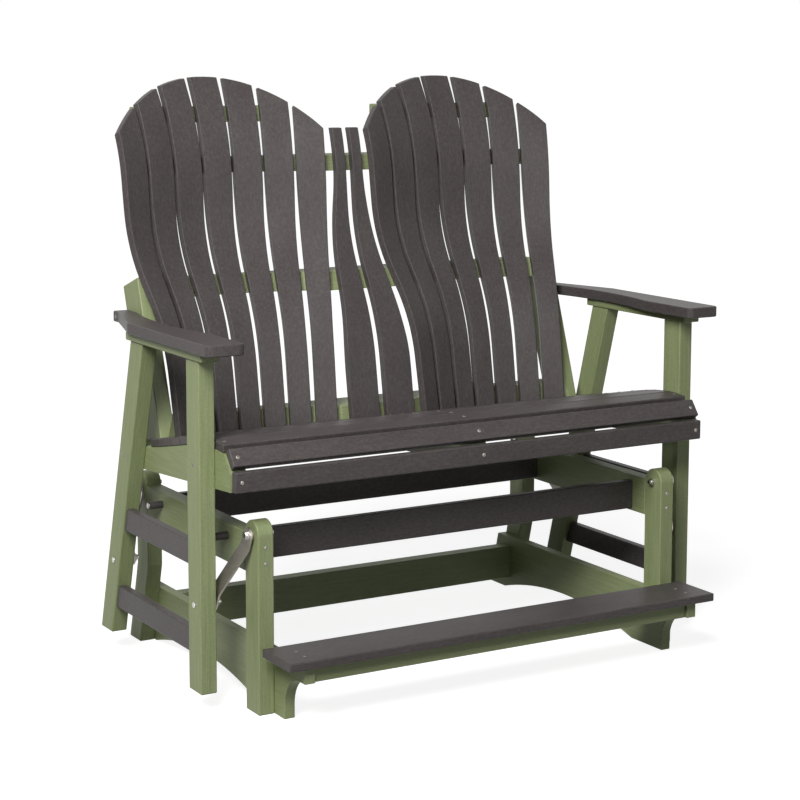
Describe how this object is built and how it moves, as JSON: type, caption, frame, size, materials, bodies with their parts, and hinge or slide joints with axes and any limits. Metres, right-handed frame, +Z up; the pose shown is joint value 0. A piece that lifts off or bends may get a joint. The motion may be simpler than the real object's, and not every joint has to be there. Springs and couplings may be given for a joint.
{
  "type": "porch glider",
  "caption": "Raised two-seat outdoor glider bench in plastic lumber: fan-back slats, armrests and a footrest; the seat swings on steel straps hung from the base posts.",
  "frame": {"origin": "on the floor, under the middle of the whole object's box", "axes": "+Z up, -Y the way a sitter faces, +X across to the right as seen from the front"},
  "size_m": [1.36, 0.9256, 1.367],
  "materials": {
    "green_lumber": "brushed grain",
    "brown_lumber": "matte",
    "bumper": "matte",
    "link_steel": "brushed",
    "fastener_steel": "satin"
  },
  "bodies": {
    "base": {"base_front_post_left": "green_lumber", "base_front_post_right": "green_lumber", "base_rear_post_left": "green_lumber", "base_rear_post_right": "green_lumber", "sled_left": "green_lumber", "sled_right": "green_lumber", "base_side_rail_left": "green_lumber", "base_side_rail_right": "green_lumber", "rear_stretcher": "green_lumber", "footrest_apron": "green_lumber", "base_cross_rail_front": "brown_lumber", "base_cross_rail_rear": "brown_lumber", "footrest_board": "brown_lumber", "stop_bumpers": "bumper", "stop_bolts": "fastener_steel", "upper_pivot_bolts": "fastener_steel", "upper_pivot_nuts": "fastener_steel", "upper_pivot_spacers": "fastener_steel", "base_screws": "fastener_steel"},
    "front_links": {"front_links": "link_steel"},
    "rear_links": {"rear_links": "link_steel"},
    "seat": {"seat_front_leg_left": "green_lumber", "seat_front_leg_right": "green_lumber", "seat_rear_leg_left": "green_lumber", "seat_rear_leg_right": "green_lumber", "arm_cleats": "green_lumber", "seat_stringer_left": "green_lumber", "seat_stringer_middle": "green_lumber", "seat_stringer_right": "green_lumber", "back_upright_left": "green_lumber", "back_upright_right": "green_lumber", "back_bottom_rail": "green_lumber", "back_middle_rail": "green_lumber", "back_upper_rail": "green_lumber", "back_top_rails": "green_lumber", "armrest_left": "brown_lumber", "armrest_right": "brown_lumber", "upper_side_boards": "brown_lumber", "lower_side_boards": "brown_lumber", "seat_apron": "brown_lumber", "seat_drop_slat": "brown_lumber", "seat_slats": "brown_lumber", "back_filler_slats": "brown_lumber", "back_slat_left_1": "brown_lumber", "back_slat_left_2": "brown_lumber", "back_slat_left_3": "brown_lumber", "back_slat_left_4": "brown_lumber", "back_slat_left_5": "brown_lumber", "back_slat_left_6": "brown_lumber", "back_slat_left_7": "brown_lumber", "back_slat_right_1": "brown_lumber", "back_slat_right_2": "brown_lumber", "back_slat_right_3": "brown_lumber", "back_slat_right_4": "brown_lumber", "back_slat_right_5": "brown_lumber", "back_slat_right_6": "brown_lumber", "back_slat_right_7": "brown_lumber", "lower_pivot_bolts": "fastener_steel", "lower_pivot_nuts": "fastener_steel", "seat_screws": "fastener_steel"}
  },
  "joints": [
    {"name": "front_link_swing", "type": "hinge", "parent": "base", "child": "front_links", "pos_m": [0, -0.27475, 0.3969], "axis": [1, 0, 0], "range_deg": [-12, 12]},
    {"name": "front_seat_pivot", "type": "hinge", "parent": "front_links", "child": "seat", "pos_m": [0, -0.2037, 0.238], "axis": [1, 0, 0], "range_deg": [-15.8, 15.8]},
    {"name": "rear_link_swing", "type": "hinge", "parent": "base", "child": "rear_links", "pos_m": [0, 0.32035, 0.3969], "axis": [1, 0, 0], "range_deg": [-12.1, 12.1]}
  ],
  "couplings": [
    {"joint": "front_seat_pivot", "follows": "front_link_swing", "ratio": -1.3088},
    {"joint": "rear_link_swing", "follows": "front_link_swing", "ratio": 1}
  ]
}
